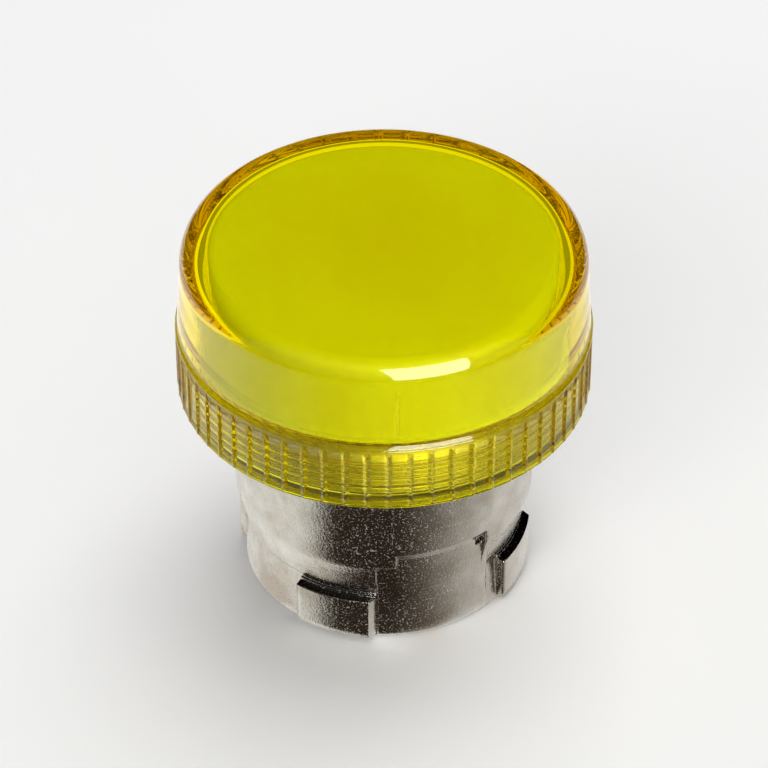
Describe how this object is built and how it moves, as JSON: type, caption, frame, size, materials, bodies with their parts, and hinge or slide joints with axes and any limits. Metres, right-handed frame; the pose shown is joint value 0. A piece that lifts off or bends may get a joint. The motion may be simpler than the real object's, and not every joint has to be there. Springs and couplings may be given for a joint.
{
  "type": "panel indicator light head",
  "caption": "Round panel indicator light head: clear yellow screw-on lens cap with knurled skirt over a diffuser, and a die-cast barrel with bayonet lugs.",
  "frame": {"origin": "centre of the mounting hole, on the front surface of the panel where the gasket seats", "axes": "+Z out of the panel towards the viewer along the lens axis, -Y towards the gap between two bayonet lugs that the wide pad bridges"},
  "size_m": [0.029, 0.029, 0.0281],
  "materials": {
    "zinc_casting": "raw zinc alloy die casting, grainy skin, satin",
    "gasket_rubber": "moulded nitrile rubber, matt",
    "white_plastic": "moulded white plastic, satin",
    "spring_steel": "drawn spring wire",
    "seal_rubber": "moulded nitrile rubber, matt",
    "diffuser_plastic": "moulded translucent plastic, fine satin",
    "lens_plastic": "transparent yellow polycarbonate, polished"
  },
  "bodies": {
    "housing": {"body_casting": "zinc_casting", "panel_gasket": "gasket_rubber", "light_tube": "white_plastic", "tube_snap_ring": "spring_steel", "lens_seal": "seal_rubber"},
    "carrier": {"diffuser": "diffuser_plastic"},
    "cap": {"lens_cap": "lens_plastic"}
  },
  "joints": [
    {"name": "lens_lift", "type": "slide", "parent": "housing", "child": "carrier", "axis": [0, 0, 1], "range_m": [0, 0.00377]},
    {"name": "lens_unscrew", "type": "hinge", "parent": "carrier", "child": "cap", "pos_m": [0, 0, 0], "axis": [0, 0, 1], "range_deg": [0, 1800]}
  ],
  "couplings": [
    {"joint": "lens_lift", "follows": "lens_unscrew", "m_per_rad": 0.00011937}
  ]
}
